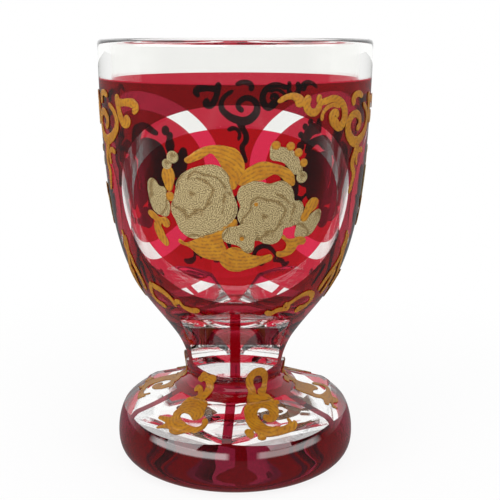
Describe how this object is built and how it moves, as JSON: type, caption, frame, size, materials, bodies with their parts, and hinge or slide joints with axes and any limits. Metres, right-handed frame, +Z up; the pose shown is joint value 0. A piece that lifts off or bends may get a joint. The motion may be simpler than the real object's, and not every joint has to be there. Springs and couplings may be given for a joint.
{
  "type": "goblet",
  "caption": "Stemmed drinking goblet of clear glass cased in ruby, cut with framed ovals, stem windows and foot panels, with raised gold and grey enamel flowers and scrolls.",
  "frame": {"origin": "middle of the resting face under the foot, on the goblet's axis", "axes": "+Z up along the goblet's axis to the rim, -Y towards the middle of the first oval"},
  "size_m": [0.0941, 0.0941, 0.15],
  "materials": {
    "clear_glass": "polished clear glass",
    "ruby_glass": "polished ruby glass layer",
    "gold_enamel": "raised gold-coloured fired enamel with a satin sheen",
    "grey_enamel": "raised grey and tan fired enamel, finely brushed"
  },
  "bodies": {
    "root": {"bowl": "clear_glass", "stem": "clear_glass", "foot": "clear_glass", "bowl_ruby": "ruby_glass", "stem_ruby": "ruby_glass", "foot_ruby": "ruby_glass", "oval_1_ruby": "ruby_glass", "oval_2_ruby": "ruby_glass", "oval_3_ruby": "ruby_glass", "oval_1_left_flower": "grey_enamel", "oval_1_right_flower": "grey_enamel", "oval_1_upper_left_leaf": "gold_enamel", "oval_1_upper_right_leaf": "gold_enamel", "oval_1_lower_leaves": "gold_enamel", "oval_1_left_spray": "grey_enamel", "oval_1_upper_right_spray": "grey_enamel", "oval_1_right_spray": "grey_enamel", "oval_2_left_flower": "grey_enamel", "oval_2_right_flower": "grey_enamel", "oval_2_upper_left_leaf": "gold_enamel", "oval_2_upper_right_leaf": "gold_enamel", "oval_2_lower_leaves": "gold_enamel", "oval_2_left_spray": "grey_enamel", "oval_2_upper_right_spray": "grey_enamel", "oval_2_right_spray": "grey_enamel", "oval_3_left_flower": "grey_enamel", "oval_3_right_flower": "grey_enamel", "oval_3_upper_left_leaf": "gold_enamel", "oval_3_upper_right_leaf": "gold_enamel", "oval_3_lower_leaves": "gold_enamel", "oval_3_left_spray": "grey_enamel", "oval_3_upper_right_spray": "grey_enamel", "oval_3_right_spray": "grey_enamel", "side_1_upper_left_scroll": "gold_enamel", "side_1_middle_scroll": "gold_enamel", "side_1_upper_right_scroll": "gold_enamel", "side_1_lower_left_scroll": "gold_enamel", "side_1_lower_right_scroll": "gold_enamel", "side_2_upper_left_scroll": "gold_enamel", "side_2_middle_scroll": "gold_enamel", "side_2_upper_right_scroll": "gold_enamel", "side_2_lower_left_scroll": "gold_enamel", "side_2_lower_right_scroll": "gold_enamel", "side_3_upper_left_scroll": "gold_enamel", "side_3_middle_scroll": "gold_enamel", "side_3_upper_right_scroll": "gold_enamel", "side_3_lower_left_scroll": "gold_enamel", "side_3_lower_right_scroll": "gold_enamel", "foot_scroll_1": "gold_enamel", "foot_scroll_2": "gold_enamel", "foot_scroll_3": "gold_enamel", "foot_scroll_4": "gold_enamel", "foot_scroll_5": "gold_enamel", "foot_scroll_6": "gold_enamel"}
  },
  "joints": []
}
